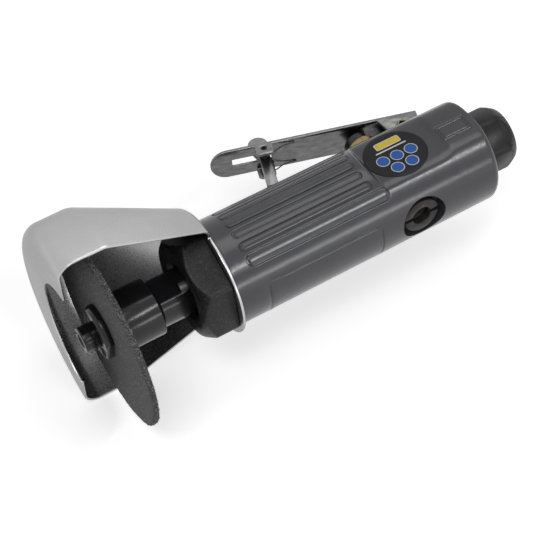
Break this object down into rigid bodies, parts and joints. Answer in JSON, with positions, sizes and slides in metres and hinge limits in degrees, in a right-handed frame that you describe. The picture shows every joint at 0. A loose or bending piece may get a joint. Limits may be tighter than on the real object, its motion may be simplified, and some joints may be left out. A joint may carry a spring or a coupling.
{
  "type": "pneumatic cut-off tool",
  "caption": "Hand-held air cut-off tool: ribbed grey barrel, lever throttle with safety latch, swivelling half guard over a small cutting wheel, threaded air inlet",
  "frame": {"origin": "centre of the air inlet's mouth, on the tool's axis", "axes": "+X out of the air inlet along the tool's axis, +Y towards the throttle lever, +Z across the tool, up"},
  "size_m": [0.1796, 0.0876, 0.0873],
  "materials": {
    "housing_grey": "satin moulded composite",
    "label_black": "gloss printed film",
    "nut_black": "fine textured black",
    "guard_steel": "polished plate",
    "motor_steel": "ground",
    "pin_steel": "ground",
    "gasket_fibre": "pressed fibre",
    "bearing_steel": "polished",
    "cage_brass": "pressed",
    "vane_resin": "fabric reinforced resin",
    "hub_black": "black oxide",
    "wheel_abrasive": "bonded grit",
    "inlet_black": "satin black",
    "seal_rubber": "smooth",
    "silencer_felt": "sintered felt",
    "cover_black": "moulded",
    "bush_brass": "turned",
    "plunger_black": "moulded",
    "spring_steel": "drawn wire",
    "regulator_brown": "moulded",
    "lever_steel": "pressed plate",
    "pin_brassy": "plated",
    "latch_steel": "pressed plate",
    "latch_pin_black": "black oxide"
  },
  "bodies": {
    "handle": {"housing": "housing_grey", "side_label": "label_black", "clamp_nut": "nut_black", "front_end_plate": "motor_steel", "motor_cylinder": "motor_steel", "locating_pin": "pin_steel", "rear_end_plate": "motor_steel", "motor_gasket": "gasket_fibre", "front_bearing_outer": "bearing_steel", "rear_bearing_outer": "bearing_steel", "air_inlet": "inlet_black", "inlet_screen": "pin_steel", "inlet_seal": "seal_rubber", "exhaust_silencer": "silencer_felt", "exhaust_cover": "cover_black", "valve_bush": "bush_brass", "valve_spring": "spring_steel", "regulator_clip": "pin_steel", "lever_pin": "pin_brassy"},
    "guard_shell": {"guard": "guard_steel"},
    "spindle": {"rotor": "motor_steel", "rotor_vanes": "vane_resin", "front_bearing_inner": "bearing_steel", "rear_bearing_inner": "bearing_steel", "drive_hub": "hub_black", "cutting_disc": "wheel_abrasive", "outer_flange": "hub_black", "wheel_screw": "hub_black"},
    "front_ball_train": {"front_bearing_balls": "bearing_steel", "front_bearing_cage": "cage_brass"},
    "rear_ball_train": {"rear_bearing_balls": "bearing_steel", "rear_bearing_cage": "cage_brass"},
    "lever_arm": {"lever": "lever_steel", "latch_pin": "latch_pin_black", "latch_spring": "spring_steel"},
    "safety_latch": {"latch": "latch_steel"},
    "throttle": {"valve_plunger": "plunger_black", "plunger_seal": "seal_rubber", "valve_seat": "seal_rubber"},
    "flow_control": {"regulator": "regulator_brown", "regulator_seal": "seal_rubber"}
  },
  "joints": [
    {"name": "spindle_spin", "type": "hinge", "parent": "handle", "child": "spindle", "pos_m": [-0.1, 0, 0], "axis": [1, 0, 0], "continuous": true},
    {"name": "front_balls_spin", "type": "hinge", "parent": "handle", "child": "front_ball_train", "pos_m": [-0.11, 0, 0], "axis": [1, 0, 0], "continuous": true},
    {"name": "rear_balls_spin", "type": "hinge", "parent": "handle", "child": "rear_ball_train", "pos_m": [-0.064, 0, 0], "axis": [1, 0, 0], "continuous": true},
    {"name": "guard_turn", "type": "hinge", "parent": "handle", "child": "guard_shell", "pos_m": [-0.124, 0, 0], "axis": [1, 0, 0], "continuous": true},
    {"name": "lever_press", "type": "hinge", "parent": "handle", "child": "lever_arm", "pos_m": [-0.0307, 0.0195, 0], "axis": [0, 0, 1], "range_deg": [0, 8], "stiffness_Nm_per_rad": 2, "springref_deg": -5.73},
    {"name": "latch_swing", "type": "hinge", "parent": "lever_arm", "child": "safety_latch", "pos_m": [-0.08018, 0.03872, 0], "axis": [0, 0, 1], "range_deg": [0, 60], "deforming": ["latch_spring"]},
    {"name": "valve_slide", "type": "slide", "parent": "handle", "child": "throttle", "axis": [0, -1, 0], "range_m": [0, 0.00245], "deforming": ["valve_spring"]},
    {"name": "regulator_turn", "type": "hinge", "parent": "handle", "child": "flow_control", "pos_m": [-0.0475, 0, 0], "axis": [0, 1, 0], "range_deg": [-60, 60]}
  ],
  "couplings": [
    {"joint": "front_balls_spin", "follows": "spindle_spin", "ratio": 0.3694},
    {"joint": "rear_balls_spin", "follows": "spindle_spin", "ratio": 0.368},
    {"joint": "latch_swing", "follows": "lever_press", "ratio": 7.5},
    {"joint": "valve_slide", "follows": "lever_press", "m_per_rad": 0.017452}
  ]
}
